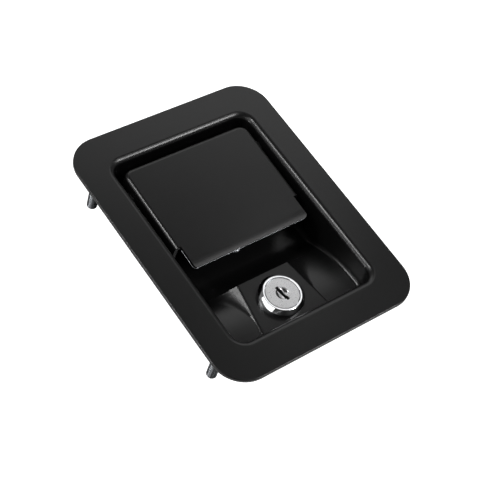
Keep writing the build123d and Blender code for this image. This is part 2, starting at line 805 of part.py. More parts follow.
# Lock plug: face disc with the keyway, core and the square tang for the cam
plug_face_z = face_z - plug_set_back
tang_end_z = cam_under_z + tang_short
with BuildPart() as lock_plug:
    with BuildSketch(lock_plane):
        with BuildLine():
            Polyline(
                (0, cam_top_z),
                (plug_radius, cam_top_z),
                (plug_radius, recess_z + running_gap),
                (plug_face_radius, recess_z + running_gap),
                (plug_face_radius, plug_face_z),
                (0, plug_face_z),
                close=True,
            )
        make_face()
    revolve(axis=lock_axis)
    with BuildSketch(Plane.XY.offset(cam_top_z)):
        with Locations((0, lock_y)):
            Rectangle(tang_across, tang_across)
    extrude(amount=tang_end_z - cam_top_z)
    with BuildSketch(Plane.XY.offset(plug_face_z)):
        with Locations((0, lock_y)):
            Circle(keyway_dish_radius)
    extrude(amount=-keyway_dish_depth, mode=Mode.SUBTRACT)
    with BuildSketch(Plane.XY.offset(plug_face_z)):
        with Locations((0, lock_y)):
            Rectangle(keyway_width, keyway_length, rotation=keyway_tilt)
    extrude(amount=-keyway_depth, mode=Mode.SUBTRACT)
    with BuildSketch(Plane.XY.offset(tang_end_z)):
        with Locations((0, lock_y)):
            Circle(cam_screw_radius + running_gap)
    extrude(amount=cam_screw_depth, mode=Mode.SUBTRACT)
lock_plug.part.label = "lock_plug"
export_step(lock_plug.part, "parts/lock_plug.step")

# Washer and nut that clamp the lock to the boss
nut_top_z = boss_back_z - washer_thickness
with BuildPart() as lock_washer:
    with BuildSketch(Plane.XY.offset(nut_top_z)):
        with Locations((0, lock_y)):
            Circle(washer_radius)
            Circle(barrel_radius + running_gap, mode=Mode.SUBTRACT)
    extrude(amount=washer_thickness)
lock_washer.part.label = "lock_washer"
export_step(lock_washer.part, "parts/lock_washer.step")

with BuildPart() as lock_nut:
    with BuildSketch(Plane.XY.offset(nut_top_z)):
        with Locations((0, lock_y)):
            RegularPolygon(nut_across / 2, 6, major_radius=False, rotation=30)
            Circle(barrel_radius + running_gap, mode=Mode.SUBTRACT)
    extrude(amount=-nut_height)
lock_nut.part.label = "lock_nut"
export_step(lock_nut.part, "parts/lock_nut.step")

# Cam on the tang: hub with a rounded tongue
with BuildPart() as lock_cam:
    with BuildSketch(Plane.XY.offset(cam_under_z)) as cam_outline:
        with Locations((0, lock_y)):
            Circle(cam_hub_radius)
        with Locations(((cam_length - cam_width / 2) / 2, lock_y)):
            Rectangle(cam_length - cam_width / 2, cam_width)
        with Locations((cam_length - cam_width / 2, lock_y)):
            Circle(cam_width / 2)
        with Locations((0, lock_y)):
            Rectangle(tang_across + 2 * running_gap, tang_across + 2 * running_gap, mode=Mode.SUBTRACT)
    extrude(amount=cam_thickness)
lock_cam.part.label = "lock_cam"
export_step(lock_cam.part, "parts/lock_cam.step")

# Washer and slotted screw that hold the cam
screw_seat_z = cam_under_z - cam_washer_thickness
with BuildPart() as cam_washer:
    with BuildSketch(Plane.XY.offset(screw_seat_z)):
        with Locations((0, lock_y)):
            Circle(cam_washer_radius)
            Circle(cam_screw_radius + 2 * running_gap, mode=Mode.SUBTRACT)
    extrude(amount=cam_washer_thickness)
cam_washer.part.label = "cam_washer"
export_step(cam_washer.part, "parts/cam_washer.step")

with BuildPart() as cam_screw:
    with BuildSketch(Plane.XY.offset(screw_seat_z)):
        with Locations((0, lock_y)):
            Circle(cam_screw_head_radius)
    extrude(amount=-cam_screw_head_height)
    fillet(cam_screw.edges().group_by(Axis.Z)[0], cam_screw_head_round)
    with BuildSketch(Plane.XY.offset(screw_seat_z)):
        with Locations((0, lock_y)):
            Circle(cam_screw_radius)
    extrude(amount=cam_washer_thickness + cam_screw_depth - cam_screw_spare)
    with BuildSketch(Plane.XY.offset(screw_seat_z - cam_screw_head_height)):
        with Locations((0, lock_y)):
            Rectangle(4 * cam_screw_head_radius, screw_slot_width)
    extrude(amount=screw_slot_depth, mode=Mode.SUBTRACT)
cam_screw.part.label = "cam_screw"
export_step(cam_screw.part, "parts/cam_screw.step")
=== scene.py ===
"""Dresses a flush paddle latch with a key lock: finishes, threads, springs and fine detail.

Sizes are in millimetres and angles in degrees, unless a docstring says otherwise.
"""

from __future__ import annotations

import json
import logging
import math
from dataclasses import dataclass, field
from enum import Enum
from typing import Callable, Sequence

import bmesh
import bpy
from mathutils import Matrix, Quaternion, Vector
from mathutils.bvhtree import BVHTree

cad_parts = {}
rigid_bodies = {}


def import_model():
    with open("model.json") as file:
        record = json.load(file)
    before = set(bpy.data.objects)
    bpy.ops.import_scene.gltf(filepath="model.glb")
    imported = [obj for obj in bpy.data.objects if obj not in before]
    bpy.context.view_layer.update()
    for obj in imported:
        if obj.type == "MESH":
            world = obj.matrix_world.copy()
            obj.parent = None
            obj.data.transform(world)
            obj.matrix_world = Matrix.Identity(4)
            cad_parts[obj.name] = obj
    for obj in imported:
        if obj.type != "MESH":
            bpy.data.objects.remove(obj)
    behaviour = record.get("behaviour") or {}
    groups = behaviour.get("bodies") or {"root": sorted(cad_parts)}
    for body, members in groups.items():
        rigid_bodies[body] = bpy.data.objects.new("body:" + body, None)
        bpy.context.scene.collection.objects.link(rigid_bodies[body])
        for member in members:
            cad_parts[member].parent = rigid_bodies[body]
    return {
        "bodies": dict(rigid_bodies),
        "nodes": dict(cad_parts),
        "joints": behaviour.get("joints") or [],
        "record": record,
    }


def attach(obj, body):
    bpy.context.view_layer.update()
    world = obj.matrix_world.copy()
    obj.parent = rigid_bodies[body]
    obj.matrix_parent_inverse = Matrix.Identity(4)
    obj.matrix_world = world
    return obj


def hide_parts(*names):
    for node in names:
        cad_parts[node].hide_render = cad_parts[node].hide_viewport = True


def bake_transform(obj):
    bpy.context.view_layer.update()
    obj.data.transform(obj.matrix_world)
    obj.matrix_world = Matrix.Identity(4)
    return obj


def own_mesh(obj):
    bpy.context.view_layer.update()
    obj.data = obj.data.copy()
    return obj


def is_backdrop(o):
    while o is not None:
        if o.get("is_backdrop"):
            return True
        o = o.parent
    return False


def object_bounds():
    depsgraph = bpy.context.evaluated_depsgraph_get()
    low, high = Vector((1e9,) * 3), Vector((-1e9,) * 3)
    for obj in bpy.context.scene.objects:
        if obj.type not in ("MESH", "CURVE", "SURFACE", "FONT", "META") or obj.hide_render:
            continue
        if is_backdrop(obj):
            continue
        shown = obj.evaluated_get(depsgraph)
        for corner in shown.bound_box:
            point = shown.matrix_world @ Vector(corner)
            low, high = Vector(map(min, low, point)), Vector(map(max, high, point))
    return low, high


MM = 0.001
WIRE_SMOOTH = 60.0
WIRE_END = ((0.35, 0.6), (0.12, 0.9))
LOG = logging.getLogger("paddle_latch")

Colour = tuple[float, float, float]
Spot = tuple[float, float, float]
Pair = tuple[float, float]
Ring = Sequence[Vector]
Reach = Callable[[float, float, float], float]
Socket = bpy.types.NodeSocket
Node = bpy.types.Node
Material = bpy.types.Material
Item = bpy.types.Object


class Body(str, Enum):
    """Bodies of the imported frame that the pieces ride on."""

    HOUSING = "root"
    PADDLE = "paddle_body"
    CORE = "lock_core"


class Slot(str, Enum):
    """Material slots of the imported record."""

    POWDER_COAT = "powder_coat"
    ZINC_PLATE = "zinc_plate"
    CAST_ZINC = "cast_zinc"
    SPRING_STEEL = "spring_steel"
    BLACK_NYLON = "black_nylon"
    CHROME = "chrome"
    SATIN_CHROME = "satin_chrome"


def set_ramp(ramp: Node, stops: Sequence[tuple[float, Colour]]) -> None:
    """Sets the stops of a colour ramp.

    Args:
        ramp: the ramp's node.
        stops: places from 0 to 1 and their colours, in order.
    """
    elements = ramp.color_ramp.elements
    while len(elements) < len(stops):
        elements.new(0.5)
    for element, (place, colour) in zip(elements, stops):
        element.position = place
        element.color = (*colour, 1.0)


class NodeSheet:
    """A material's node tree, with short calls for the nodes that the finishes share."""

    def __init__(self, name: str) -> None:
        """Makes an empty node material.

        Args:
            name: the material's name.
        """
        self.material = bpy.data.materials.new(name)
        self.material.use_nodes = True
        self.tree = self.material.node_tree
        self.tree.nodes.clear()
        self.output = self.tree.nodes.new("ShaderNodeOutputMaterial")
        self.coordinates = self.tree.nodes.new("ShaderNodeTexCoord")

    def link(self, source: Socket, target: Socket) -> None:
        """Joins two sockets."""
        self.tree.links.new(source, target)

    def shader(self, **values: float | Colour) -> Node:
        """Adds the surface shader with its constant values.

        Args:
            **values: socket names, with spaces written as underscores.

        Returns:
            The shader node, joined to the output.
        """
        node = self.tree.nodes.new("ShaderNodeBsdfPrincipled")
        for key, value in values.items():
            socket = node.inputs[key.replace("_", " ")]
            socket.default_value = (*value, 1.0) if isinstance(value, tuple) else value
        self.link(node.outputs[0], self.output.inputs[0])
        return node

    def place(self, stretch: Sequence[float]) -> Socket:
        """Gives object coordinates, stretched along each axis.

        Args:
            stretch: how much finer the pattern is along X, Y and Z.

        Returns:
            The stretched coordinates.
        """
        node = self.tree.nodes.new("ShaderNodeMapping")
        node.inputs["Scale"].default_value = tuple(stretch)
        self.link(self.coordinates.outputs["Object"], node.inputs["Vector"])
        return node.outputs["Vector"]

    def noise(
        self,
        scale: float,
        detail: float = 3.0,
        rough: float = 0.55,
        stretch: Sequence[float] = (1.0, 1.0, 1.0),
    ) -> Socket:
        """Adds a noise pattern.

        Args:
            scale: waves per metre.
            detail: layers of finer noise.
            rough: strength of the finer layers.
            stretch: stretch of the pattern along each axis.

        Returns:
            The noise value, about 0.5 on average.
        """
        node = self.tree.nodes.new("ShaderNodeTexNoise")
        node.inputs["Scale"].default_value = scale
        node.inputs["Detail"].default_value = detail
        node.inputs["Roughness"].default_value = rough
        self.link(self.place(stretch), node.inputs["Vector"])
        return node.outputs["Fac"]

    def cells(self, scale: float, stretch: Sequence[float] = (1.0, 1.0, 1.0)) -> Socket:
        """Adds a pattern of small cells.

        Args:
            scale: cells per metre.
            stretch: stretch of the pattern along each axis.

        Returns:
            The distance to the nearest cell's middle.
        """
        node = self.tree.nodes.new("ShaderNodeTexVoronoi")
        node.inputs["Scale"].default_value = scale
        self.link(self.place(stretch), node.inputs["Vector"])
        return node.outputs["Distance"]

    def spread(
        self, value: Socket, low: float, high: float, start: float = 0.3, end: float = 0.7
    ) -> Socket:
        """Maps a pattern to a range.

        Args:
            value: the pattern.
            low: result where the pattern is at start or below.
            high: result where the pattern is at end or above.
            start: pattern value that gives low.
            end: pattern value that gives high.

        Returns:
            The mapped value.
        """
        node = self.tree.nodes.new("ShaderNodeMapRange")
        limits = {"From Min": start, "From Max": end, "To Min": low, "To Max": high}
        for key, number in limits.items():
            node.inputs[key].default_value = number
        self.link(value, node.inputs["Value"])
        return node.outputs["Result"]

    def tint(
        self,
        shader: Node,
        pattern: Socket,
        colours: tuple[Colour, Colour],
        places: Pair = (0.3, 0.7),
    ) -> None:
        """Colours the surface by a pattern.

        Args:
            shader: the surface shader.
            pattern: the pattern.
            colours: the dark and the light colour.
            places: pattern values that give the two colours.
        """
        ramp = self.tree.nodes.new("ShaderNodeValToRGB")
        set_ramp(ramp, tuple(zip(places, colours)))
        self.link(pattern, ramp.inputs["Fac"])
        self.link(ramp.outputs["Color"], shader.inputs["Base Color"])

    def roughen(self, shader: Node, pattern: Socket, limits: Pair) -> None:
        """Varies the surface's roughness by a pattern, between two limits."""
        self.link(self.spread(pattern, *limits), shader.inputs["Roughness"])

    def bump(
        self,
        shader: Node,
        height: Socket,
        depth: float,
        strength: float = 1.0,
        under: Node | None = None,
    ) -> Node:
        """Lets a pattern raise the surface.

        Args:
            shader: the surface shader.
            height: the pattern.
            depth: height in metres where the pattern is 1.
            strength: share of the effect.
            under: a coarser bump that this one lies on.

        Returns:
            The bump node.
        """
        node = self.tree.nodes.new("ShaderNodeBump")
        node.inputs["Strength"].default_value = strength
        node.inputs["Distance"].default_value = depth
        self.link(height, node.inputs["Height"])
        if under is not None:
            self.link(under.outputs["Normal"], node.inputs["Normal"])
        self.link(node.outputs["Normal"], shader.inputs["Normal"])
        return node


@dataclass(frozen=True)
class PowderCoat:
    """Satin black powder coat: a fine, flat ripple with faint mottling."""

    colours: tuple[Colour, Colour] = ((0.0030, 0.0030, 0.0031), (0.0042, 0.0042, 0.0043))
    colour_places: Pair = (0.25, 0.75)
    roughness: Pair = (0.28, 0.32)
    mottle_scale: float = 60.0
    grain_scale: float = 1400.0
    grain_depth: float = 0.000002
    ripple_scale: float = 420.0
    ripple_depth: float = 0.000006
    strength: float = 0.5

    def build(self) -> Material:
        """Makes the material.

        Returns:
            The finished material.
        """
        sheet = NodeSheet("satin_black_powder_coat")
        shader = sheet.shader(IOR=1.5, Specular_IOR_Level=0.5)
        mottle = sheet.noise(self.mottle_scale, 4.0)
        sheet.tint(shader, mottle, self.colours, self.colour_places)
        grain = sheet.noise(self.grain_scale, 2.0)
        sheet.roughen(shader, grain, self.roughness)
        waves = sheet.noise(self.ripple_scale, 2.0)
        ripple = sheet.bump(shader, waves, self.ripple_depth, self.strength)
        sheet.bump(shader, grain, self.grain_depth, self.strength, ripple)
        return sheet.material


@dataclass(frozen=True)
class ZincPlate:
    """Zinc plate on steel: cool grey patches and fine rolling lines."""

    name: str = "bright_zinc_plate"
    colours: tuple[Colour, Colour] = ((0.46, 0.48, 0.51), (0.66, 0.68, 0.71))
    roughness: Pair = (0.16, 0.30)
    patch_scale: float = 140.0
    line_scale: float = 5200.0
    line_stretch: Spot = (1.0, 0.06, 1.0)
    line_depth: float = 0.000006
    strength: float = 0.5

    def build(self) -> Material:
        """Makes the material.

        Returns:
            The finished material.
        """
        sheet = NodeSheet(self.name)
        shader = sheet.shader(Metallic=1.0)
        sheet.tint(shader, sheet.noise(self.patch_scale, 5.0, 0.6), self.colours)
        lines = sheet.noise(self.line_scale, 2.0, 0.5, self.line_stretch)
        sheet.roughen(shader, lines, self.roughness)
        sheet.bump(shader, lines, self.line_depth, self.strength)
        return sheet.material


@dataclass(frozen=True)
class CastZinc:
    """Tumbled zinc casting: small pits and a soft sheen."""

    colours: tuple[Colour, Colour] = ((0.30, 0.31, 0.33), (0.50, 0.51, 0.53))
    roughness: Pair = (0.42, 0.58)
    cloud_scale: float = 110.0
    sheen_scale: float = 700.0
    wave_scale: float = 260.0
    wave_depth: float = 0.00005
    wave_strength: float = 0.4
    pit_scale: float = 900.0
    pit_places: Pair = (0.05, 0.35)
    pit_depth: float = 0.00003
    pit_strength: float = 0.35

    def build(self) -> Material:
        """Makes the material.

        Returns:
            The finished material.
        """
        sheet = NodeSheet("tumbled_zinc_casting")
        shader = sheet.shader(Metallic=1.0)
        sheet.tint(shader, sheet.noise(self.cloud_scale, 5.0, 0.6), self.colours)
        sheet.roughen(shader, sheet.noise(self.sheen_scale), self.roughness)
        pits = sheet.spread(sheet.cells(self.pit_scale), 0.0, 1.0, *self.pit_places)
        waves = sheet.noise(self.wave_scale, 3.0)
        under = sheet.bump(shader, waves, self.wave_depth, self.wave_strength)
        sheet.bump(shader, pits, self.pit_depth, self.pit_strength, under)
        return sheet.material


@dataclass(frozen=True)
class SpringSteel:
    """Drawn spring wire: darker steel with fine draw marks."""

    colours: tuple[Colour, Colour] = ((0.20, 0.20, 0.21), (0.36, 0.36, 0.38))
    roughness: Pair = (0.24, 0.40)
    patch_scale: float = 420.0
    mark_scale: float = 3600.0
    mark_stretch: Spot = (0.3, 1.0, 1.0)
    mark_depth: float = 0.000005
    strength: float = 0.5

    def build(self) -> Material:
        """Makes the material.

        Returns:
            The finished material.
        """
        sheet = NodeSheet("drawn_spring_wire")
        shader = sheet.shader(Metallic=1.0)
        sheet.tint(shader, sheet.noise(self.patch_scale, 4.0), self.colours)
        marks = sheet.noise(self.mark_scale, 2.0, 0.5, self.mark_stretch)
        sheet.roughen(shader, marks, self.roughness)
        sheet.bump(shader, marks, self.mark_depth, self.strength)
        return sheet.material


@dataclass(frozen=True)
class BlackNylon:
    """Matt black nylon with a fine moulded grain."""

    colours: tuple[Colour, Colour] = ((0.010, 0.010, 0.010), (0.018, 0.018, 0.018))
    roughness: Pair = (0.5, 0.66)
    grain_scale: float = 2200.0
    grain_depth: float = 0.00001
    strength: float = 0.5

    def build(self) -> Material:
        """Makes the material.

        Returns:
            The finished material.
        """
        sheet = NodeSheet("matt_black_nylon")
        shader = sheet.shader(IOR=1.53)
        grain = sheet.noise(self.grain_scale, 3.0)
        sheet.tint(shader, grain, self.colours)
        sheet.roughen(shader, grain, self.roughness)
        sheet.bump(shader, grain, self.grain_depth, self.strength)
        return sheet.material


@dataclass(frozen=True)
class PolishedChrome:
    """Mirror chrome with a trace of wipe marks."""

    colours: tuple[Colour, Colour] = ((0.70, 0.71, 0.73), (0.84, 0.85, 0.86))
    roughness: Pair = (0.05, 0.12)
    haze_scale: float = 300.0
    haze_depth: float = 0.000008
    wipe_scale: float = 2600.0
    wipe_stretch: Spot = (1.0, 0.15, 0.3)
    strength: float = 0.25

    def build(self) -> Material:
        """Makes the material.

        Returns:
            The finished material.
        """
        sheet = NodeSheet("polished_chrome")
        shader = sheet.shader(Metallic=1.0)
        haze = sheet.noise(self.haze_scale, 4.0)
        sheet.tint(shader, haze, self.colours)
        wipes = sheet.noise(self.wipe_scale, 2.0, 0.5, self.wipe_stretch)
        sheet.roughen(shader, wipes, self.roughness)
        sheet.bump(shader, haze, self.haze_depth, self.strength)
        return sheet.material


@dataclass(frozen=True)
class SatinChrome:
    """Fine-blasted chrome: an even, silvery sheen with small grains."""

    colours: tuple[Colour, Colour] = ((0.78, 0.78, 0.79), (0.94, 0.94, 0.95))
    roughness: Pair = (0.26, 0.38)
    grain_scale: float = 2600.0
    grain_depth: float = 0.000012
    strength: float = 0.6

    def build(self) -> Material:
        """Makes the material.

        Returns:
            The finished material.
        """
        sheet = NodeSheet("satin_chrome")
        shader = sheet.shader(Metallic=1.0)
        grain = sheet.noise(self.grain_scale, 3.0)
        sheet.tint(shader, grain, self.colours)
        sheet.roughen(shader, grain, self.roughness)
        sheet.bump(shader, grain, self.grain_depth, self.strength)
        return sheet.material


@dataclass
class FinishShelf:
    """All finishes, each made once and handed out by slot."""

    made: dict[Slot, Material] = field(default_factory=dict)

    def stock(self) -> None:
        """Makes every finish."""
        makers = {
            Slot.POWDER_COAT: PowderCoat(),
            Slot.ZINC_PLATE: ZincPlate(),
            Slot.CAST_ZINC: CastZinc(),
            Slot.SPRING_STEEL: SpringSteel(),
            Slot.BLACK_NYLON: BlackNylon(),
            Slot.CHROME: PolishedChrome(),
            Slot.SATIN_CHROME: SatinChrome(),
        }
        for slot, maker in makers.items():
            self.made[slot] = maker.build()
            LOG.info("finish %s", self.made[slot].name)

    def dress(self, thing: Item, slot: Slot) -> None:
        """Gives a piece one finish.

        Args:
            thing: the piece or frame node.
            slot: which finish.
        """
        thing.data.materials.clear()
        thing.data.materials.append(self.made[slot])


@dataclass
class Softbox:
    """A rectangular soft lamp that points at the latch, in metres."""

    name: str
    place: Spot
    width: float
    depth: float
    level: float
    roll: float = 0.0
    aim: Spot = (0.0, 0.0, 0.0)

    def hang(self) -> None:
        """Hangs the lamp."""
        data = bpy.data.lights.new(self.name, "AREA")
        data.shape = "RECTANGLE"
        data.size, data.size_y = self.width, self.depth
        data.energy = self.level * math.pi * self.width * self.depth
        lamp = bpy.data.objects.new(self.name, data)
        lamp.location = self.place
        towards = Vector(self.aim) - Vector(self.place)
        roll = Quaternion((0.0, 0.0, 1.0), math.radians(self.roll))
        lamp.rotation_mode = "QUATERNION"
        lamp.rotation_quaternion = towards.to_track_quat("-Z", "Y") @ roll
        bpy.context.scene.collection.objects.link(lamp)


@dataclass
class Studio:
    """Camera, pale floor and soft light round the latch.

    The wall stops are heights of the view, as shares of straight up, with their grey levels.
    """

    azimuth: float = -52.9468
    elevation: float = 53.113
    roll: float = 21.7113
    shift_x: float = -3.4812
    shift_y: float = 13.3208
    distance: float = 554.1579
    focal_pixels: float = 1222.307
    frame_pixels: float = 500.0
    sensor: float = 36.0
    near_metres: float = 0.01
    far_metres: float = 20.0
    front_face: float = 1.6
    floor_gap: float = 0.2
    floor_half_metres: float = 3.0
    paper: Colour = (0.8, 0.8, 0.8)
    paper_glow: float = 0.9
    walls: tuple[Pair, ...] = ((0.0, 0.30), (0.5, 0.12), (0.60, 0.05), (1.0, 0.05))

    def set_camera(self) -> None:
        """Places the camera where the photograph was taken from."""
        turn, lift, roll = (math.radians(v) for v in (self.azimuth, self.elevation, self.roll))
        level = math.cos(lift)
        back = Vector((math.sin(turn) * level, -math.cos(turn) * level, math.sin(lift)))
        right = Vector((math.cos(turn), math.sin(turn), 0.0))
        up = back.cross(right)
        across = right * math.cos(roll) + up * math.sin(roll)
        upward = up * math.cos(roll) - right * math.sin(roll)
        place = back * self.distance - across * self.shift_x - upward * self.shift_y
        place.z += self.front_face
        data = bpy.data.cameras.new("camera")
        data.sensor_width = self.sensor
        data.lens = self.sensor * self.focal_pixels / self.frame_pixels
        data.clip_start, data.clip_end = self.near_metres, self.far_metres
        camera = bpy.data.objects.new("camera", data)
        facing = Matrix((across, upward, back)).transposed().to_4x4()
        camera.matrix_world = Matrix.Translation(place * MM) @ facing
        bpy.context.scene.collection.objects.link(camera)
        bpy.context.scene.camera = camera

    def lay_floor(self, level: float) -> None:
        """Lays the pale floor.

        Args:
            level: lowest point of the latch, in metres.
        """
        mesh = bpy.data.meshes.new("floor")
        sheet = bmesh.new()
        half = self.floor_half_metres
        spots = ((-half, -half), (half, -half), (half, half), (-half, half))
        sheet.faces.new([sheet.verts.new((x, y, 0.0)) for x, y in spots])
        sheet.to_mesh(mesh)
        sheet.free()
        floor = bpy.data.objects.new("floor", mesh)
        floor.location.z = level - self.floor_gap * MM
        bpy.context.scene.collection.objects.link(floor)
        floor.data.materials.append(self.floor_finish())
        floor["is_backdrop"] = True

    def floor_finish(self) -> Material:
        """Makes the floor's white paper, which keeps a soft shadow.

        Returns:
            The floor's material.
        """
        sheet = NodeSheet("white_paper_floor")
        nodes = sheet.tree.nodes
        paper = nodes.new("ShaderNodeBsdfDiffuse")
        paper.inputs["Color"].default_value = (*self.paper, 1.0)
        glow = nodes.new("ShaderNodeEmission")
        glow.inputs["Strength"].default_value = self.paper_glow
        paths = nodes.new("ShaderNodeLightPath")
        both = nodes.new("ShaderNodeAddShader")
        pick = nodes.new("ShaderNodeMixShader")
        sheet.link(paper.outputs[0], both.inputs[0])
        sheet.link(glow.outputs[0], both.inputs[1])
        sheet.link(paths.outputs["Is Camera Ray"], pick.inputs[0])
        sheet.link(paper.outputs[0], pick.inputs[1])
        sheet.link(both.outputs[0], pick.inputs[2])
        sheet.link(pick.outputs[0], sheet.output.inputs[0])
        return sheet.material

    def set_world(self) -> None:
        """Sets the light from all round: pale walls near the horizon, darker above."""
        world = bpy.data.worlds.new("studio_walls")
        world.use_nodes = True
        tree = world.node_tree
        tree.nodes.clear()
        output = tree.nodes.new("ShaderNodeOutputWorld")
        walls = tree.nodes.new("ShaderNodeBackground")
        backdrop = tree.nodes.new("ShaderNodeBackground")
        coordinates = tree.nodes.new("ShaderNodeTexCoord")
        split = tree.nodes.new("ShaderNodeSeparateXYZ")
        ramp = tree.nodes.new("ShaderNodeValToRGB")
        paths = tree.nodes.new("ShaderNodeLightPath")
        pick = tree.nodes.new("ShaderNodeMixShader")
        set_ramp(ramp, [(place, (level, level, level)) for place, level in self.walls])
        tree.links.new(coordinates.outputs["Generated"], split.inputs[0])
        tree.links.new(split.outputs["Z"], ramp.inputs["Fac"])
        tree.links.new(ramp.outputs["Color"], walls.inputs["Color"])
        tree.links.new(paths.outputs["Is Camera Ray"], pick.inputs[0])
        tree.links.new(walls.outputs[0], pick.inputs[1])
        tree.links.new(backdrop.outputs[0], pick.inputs[2])
        tree.links.new(pick.outputs[0], output.inputs[0])
        bpy.context.scene.world = world

    def hang_lamps(self) -> None:
        """Hangs the lamps."""
        lock_aim = (0.0, -0.0362, -0.0086)
        for lamp in (
            Softbox("right_softbox", (0.3731, 0.6649, 0.5378), 0.906, 0.466, 1.08, roll=-16.0),
            Softbox("left_softbox", (-0.775, 0.109, 0.6225), 1.2, 0.41, 1.8),
            Softbox("crest_softbox", (-0.5155, 0.361, 0.7771), 0.16, 0.16, 35.0),
            Softbox("rim_softbox", (0.479, -0.475, 0.738), 0.31, 0.14, 31.0, roll=53.6),
            Softbox("lip_softbox", (0.479, -0.143, 0.865), 0.34, 0.26, 3.0),
            Softbox("low_strip", (-0.779, 0.1515, 0.0975), 0.08, 0.24, 16.0, aim=(0.0, 0.0, -0.02)),
            Softbox("lock_softbox", (0.148, 0.060, 0.234), 0.040, 0.040, 1.3, aim=lock_aim),
        ):
            lamp.hang()
            LOG.info("lamp %s", lamp.name)

    def set_up(self, lowest: float) -> None:
        """Sets up camera, floor, world and lamps.

        Args:
            lowest: lowest point of the latch, in metres.
        """
        bpy.context.scene.view_settings.view_transform = "Standard"
        self.set_camera()
        self.lay_floor(lowest)
        self.set_world()
        self.hang_lamps()


@dataclass
class FrameFinishes:
    """Finishes of the frame's own nodes, as the record's slots say."""

    shelf: FinishShelf

    def dress(self, frame: dict) -> None:
        """Dresses every node of the frame.
        """
        parts = frame["record"]["subparts"]
        slots = {part["node"]: Slot(part["material_slot"]) for part in parts}
        for name, node in frame["nodes"].items():
            self.shelf.dress(node, slots[name])
            LOG.info("node %s in %s", name, slots[name].value)


@dataclass
class Solid:
    """A closed mesh, made from rings of points."""

    name: str
    points: list[Vector] = field(default_factory=list)
    faces: list[tuple[int, ...]] = field(default_factory=list)

    def rings(self, rings: Sequence[Ring], closed: bool = False) -> None:
        """Skins rings of equal length, and caps both ends.

        Args:
            rings: the rings in order, each a closed loop of points.
            closed: whether the last ring joins the first, which leaves no caps.
        """
        first, count = len(self.points), len(rings[0])
        for ring in rings:
            self.points.extend(ring)
        spans = len(rings) if closed else len(rings) - 1
        for row in range(spans):
            here = first + row * count
            there = first + ((row + 1) % len(rings)) * count
            for place in range(count):
                after = (place + 1) % count
                self.faces.append((here + place, here + after, there + after, there + place))
        if not closed:
            last = first + (len(rings) - 1) * count
            self.faces.append(tuple(first + k for k in reversed(range(count))))
            self.faces.append(tuple(last + k for k in range(count)))

    def build(self, smooth_angle: float = 35.0) -> Item:
        """Makes the Blender object.

        Args:
            smooth_angle: edges sharper than this stay crisp.

        Returns:
            The object, linked to the scene.
        """
        mesh = bpy.data.meshes.new(self.name)
        work = bmesh.new()
        corners = [work.verts.new(point * MM) for point in self.points]
        for face in self.faces:
            work.faces.new([corners[k] for k in face])
        bmesh.ops.recalc_face_normals(work, faces=work.faces)
        limit = math.radians(smooth_angle)
        for face in work.faces:
            face.smooth = True
        for edge in work.edges:
            edge.smooth = len(edge.link_faces) == 2 and edge.calc_face_angle(0.0) < limit
        work.to_mesh(mesh)
        work.free()
        thing = bpy.data.objects.new(self.name, mesh)
        bpy.context.scene.collection.objects.link(thing)
        return thing


def turned(
    solid: Solid,
    centre: Pair,
    profile: Sequence[Pair],
    steps: int,
    reach: Reach,
    closed: bool = False,
) -> None:
    """Adds a form turned about an upright axis.

    Args:
        solid: the solid that takes the form.
        centre: the axis's place along X and Y.
        profile: radius and height of each ring, in order.
        steps: points round each ring.
        reach: changes a radius by its angle and height, as for threads, flats or a hexagon.
        closed: whether the profile is a closed loop.
    """
    rings = []
    for radius, height in profile:
        ring = []
        for k in range(steps):
            angle = 2 * math.pi * k / steps
            far = reach(radius, angle, height)
            x, y = centre[0] + far * math.cos(angle), centre[1] + far * math.sin(angle)
            ring.append(Vector((x, y, height)))
        rings.append(ring)
    solid.rings(rings, closed)


def wound(solid: Solid, path: Sequence[Vector], radius: float, sides: int) -> None:
    """Adds round wire along a path, with rounded ends.

    Args:
        solid: the solid that takes the wire.
        path: points along the wire's middle.
        radius: the wire's radius.
        sides: points round the wire.
    """
    rings = []
    turns = [2 * math.pi * k / sides for k in range(sides)]
    cap = [(radius * out, share) for out, share in WIRE_END]
    side = (path[1] - path[0]).normalized().orthogonal().normalized()
    for k, point in enumerate(path):
        before, after = path[max(k - 1, 0)], path[min(k + 1, len(path) - 1)]
        ahead = (after - before).normalized()
        side = (side - ahead * side.dot(ahead)).normalized()
        other = ahead.cross(side)
        ends = [(0.0, 1.0)]
        if k == 0:
            ends = [(-out, share) for out, share in cap] + ends
        elif k == len(path) - 1:
            ends += reversed(cap)
        for shift, share in ends:
            middle = point + ahead * shift
            ring = []
            for turn in turns:
                out = side * math.cos(turn) + other * math.sin(turn)
                ring.append(middle + out * radius * share)
            rings.append(ring)
    solid.rings(rings)


@dataclass
class ThreadForm:
    """A rolled screw thread. Its crest and flank are shares of half the pitch."""

    radius: float
    pitch: float
    depth: float
    rows_per_turn: int = 8
    crest: float = 0.12
    flank: float = 0.70

    def reach(self, angle: float, height: float) -> float:
        """Gives the thread's radius at a place.

        Args:
            angle: angle round the screw, in radians.
            height: height along the screw.

        Returns:
            The radius there.
        """
        phase = (height / self.pitch - angle / (2 * math.pi)) % 1.0
        wave = abs(2 * phase - 1)
        sunk = min(max((wave - self.crest) / self.flank, 0.0), 1.0)
        return self.radius - self.depth * sunk

    def heights(self, low: float, high: float) -> list[float]:
        """Gives evenly spaced heights that are fine enough for the thread.

        Args:
            low: lowest height.
            high: highest height.

        Returns:
            Heights from high to low.
        """
        count = max(2, round((high - low) / self.pitch * self.rows_per_turn))
        return [high + (low - high) * k / count for k in range(count + 1)]


